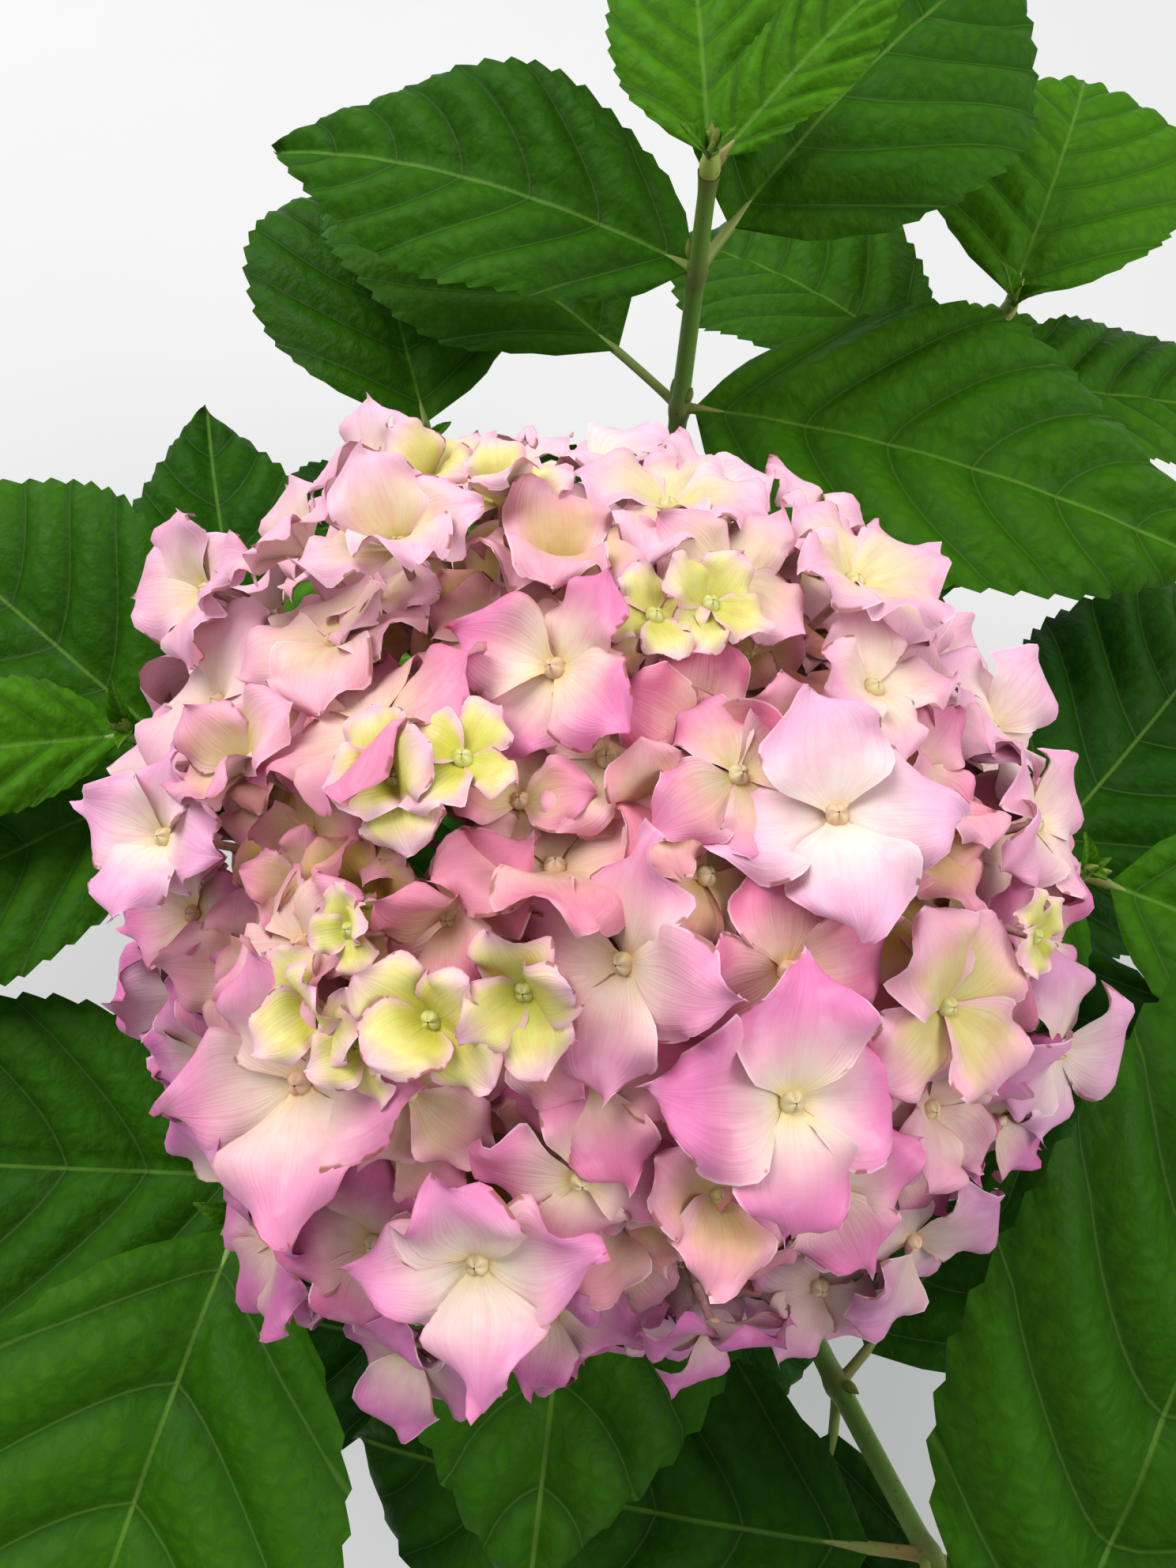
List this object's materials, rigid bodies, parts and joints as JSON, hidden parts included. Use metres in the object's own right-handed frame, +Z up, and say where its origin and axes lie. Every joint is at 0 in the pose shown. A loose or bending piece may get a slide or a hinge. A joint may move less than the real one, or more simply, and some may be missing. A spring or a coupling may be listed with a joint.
{
  "type": "potted hydrangea shrub",
  "caption": "Potted hydrangea shrub: a pink mophead bloom above broad toothed leaves on leafy shoots, in a plain black nursery pot.",
  "frame": {"origin": "middle of the pot's flat underside, on the ground", "axes": "+Z up, +Y away from the viewer towards the tall leafy shoot, +X to the viewer's right"},
  "size_m": [0.4602, 0.5371, 0.5062],
  "materials": {
    "pot_plastic": "matt black moulded plastic, dusty at the foot and rim",
    "compost": "dark moist compost with chips and patches of olive moss",
    "woody_stem": "pale brown bark, finely ridged and flaking",
    "green_stem": "smooth green stem with red-brown flecks and nodes",
    "foliage": "satin mid-green, quilted between pale raised veins",
    "blossom": "soft satin petals, cream to lime at the heart and pink to lilac at the edge"
  },
  "bodies": {
    "root": {"pot": "pot_plastic", "compost": "compost", "woody_stock": "woody_stem", "bough_centre": "green_stem", "leaves_centre": "foliage", "bough_back": "green_stem", "leaves_back": "foliage", "bough_back_right": "green_stem", "leaves_back_right": "foliage", "bough_right": "green_stem", "leaves_right": "foliage", "bough_front_right": "green_stem", "leaves_front_right": "foliage", "bough_front": "green_stem", "leaves_front": "foliage", "bough_front_left": "green_stem", "leaves_front_left": "foliage", "bough_left": "green_stem", "leaves_left": "foliage", "bough_back_left": "green_stem", "leaves_back_left": "foliage", "flower_head": "blossom"}
  },
  "joints": []
}
